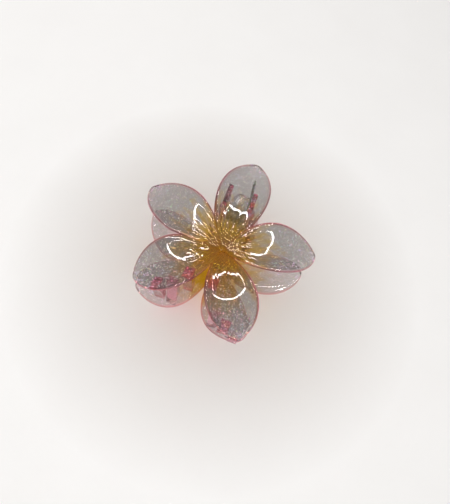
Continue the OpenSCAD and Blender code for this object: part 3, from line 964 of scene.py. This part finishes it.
def ring_lamp(centre, one, two):
    """A glowing ring: small circles carried round a large one. It shows only in reflections."""
    a = np.linspace(0, 2 * math.pi, RING_STEPS, endpoint=False)[:, None, None]
    t = np.linspace(0, 2 * math.pi, RING_SIDES, endpoint=False)[None, :, None]
    out = np.cos(a) * one + np.sin(a) * two
    axis = np.cross(one, two)
    points = centre + out * (RING_RADIUS + RING_TUBE * np.cos(t)) + axis * RING_TUBE * np.sin(t)
    k, m = np.meshgrid(np.arange(RING_STEPS), np.arange(RING_SIDES), indexing="ij")
    row, next_row, next_m = k * RING_SIDES, (k + 1) % RING_STEPS * RING_SIDES, (m + 1) % RING_SIDES
    quads = np.stack((row + m, row + next_m, next_row + next_m, next_row + m), -1)
    ring = mesh_piece("ring_lamp", points, quads.reshape(-1, 4))
    material, tree = new_material("ring_glow")
    put_out(tree, new_node(tree, "ShaderNodeEmission", Strength=RING_STRENGTH).outputs[0])
    ring.data.materials.append(material)
    ring.visible_camera = False
    ring.visible_diffuse = False
    ring.visible_transmission = False
    ring.visible_shadow = False


def add_camera(studio, target):
    """The camera at its distance from the target."""
    right, up, forward = camera_axes(studio)
    camera = bpy.data.cameras.new("camera")
    camera.lens, camera.sensor_width = studio.lens, SENSOR_WIDTH
    camera.clip_start, camera.clip_end = CLIP_START, CLIP_END
    camera_object = bpy.data.objects.new("camera", camera)
    axes = Matrix(np.column_stack((right, up, -forward)).tolist()).to_4x4()
    camera_object.matrix_world = Matrix.Translation(target - forward * studio.distance) @ axes
    bpy.context.scene.collection.objects.link(camera_object)
    bpy.context.scene.camera = camera_object


class FLOWER_OT_studio(bpy.types.Operator):
    """Make the floor, the lights and the camera"""

    bl_idname = "flower.studio"
    bl_label = "Studio"

    def execute(self, context):
        studio = context.scene.studio_settings
        corners = [(x * FLOOR_HALF_SIDE, y * FLOOR_HALF_SIDE, 0)
                   for x, y in ((-1, -1), (1, -1), (1, 1), (-1, 1))]
        floor = mesh_piece("floor", corners, [(0, 1, 2, 3)], smooth=False)
        floor.data.transform(Matrix.Translation((0, 0, cad_box[0][2] - FLOOR_DROP)))
        floor.data.materials.append(floor_material())
        target = HINGE + studio.target
        add_camera(studio, target)
        for name, place, size, power in SOFTBOXES:
            lamp(name, place, target, size, power)
        flower = to_clip(np.zeros((1, 3)), True)[0]
        tip = studio.ring_tilt
        away, side = np.array((0, -math.sin(tip), math.cos(tip))), np.array((1.0, 0, 0))
        ring_lamp(flower + away * studio.distance, side, np.cross(away, side))
        world = bpy.data.worlds.new("studio")
        context.scene.world = world
        world.use_nodes = True
        world.node_tree.nodes["Background"].inputs[0].default_value = WORLD_COLOUR
        world.node_tree.nodes["Background"].inputs[1].default_value = WORLD_STRENGTH
        context.scene.view_settings.view_transform = "Standard"
        return {"FINISHED"}


class FLOWER_PT_panel(bpy.types.Panel):
    """Lists the clip's operators and settings"""

    bl_label = "Flower Clip"
    bl_idname = "FLOWER_PT_panel"
    bl_space_type = "VIEW_3D"
    bl_region_type = "UI"
    bl_category = "Flower Clip"

    def draw(self, context):
        layout = self.layout
        for operator in OPERATORS:
            layout.operator(operator.bl_idname)
        for group in (context.scene.flower_sizes, context.scene.hinge_sizes, context.scene.finish_colours,
                      context.scene.studio_settings):
            box = layout.box()
            for name in group.__annotations__:
                box.prop(group, name)


OPERATORS = (FLOWER_OT_front_jaw, FLOWER_OT_rear_jaw, FLOWER_OT_glitter, FLOWER_OT_spring, FLOWER_OT_pin,
             FLOWER_OT_studio)
GROUPS = {
    "flower_sizes": FlowerSizes, "hinge_sizes": HingeSizes, "finish_colours": FinishColours,
    "studio_settings": StudioSettings,
}


def register():
    """Registers the classes and hangs the property groups on the scene."""
    for group in GROUPS.values():
        bpy.utils.register_class(group)
    for name, group in GROUPS.items():
        setattr(bpy.types.Scene, name, bpy.props.PointerProperty(type=group))
    for operator in OPERATORS:
        bpy.utils.register_class(operator)
    bpy.utils.register_class(FLOWER_PT_panel)


def unregister():
    """Takes off what register put on."""
    bpy.utils.unregister_class(FLOWER_PT_panel)
    for operator in reversed(OPERATORS):
        bpy.utils.unregister_class(operator)
    for name, group in reversed(GROUPS.items()):
        delattr(bpy.types.Scene, name)
        bpy.utils.unregister_class(group)


def main():
    """Makes every piece in order."""
    register()
    bpy.ops.flower.front_jaw()
    bpy.ops.flower.rear_jaw()
    bpy.ops.flower.glitter()
    bpy.ops.flower.spring()
    bpy.ops.flower.pin()
    bpy.ops.flower.studio()


if __name__ == "__main__":
    main()
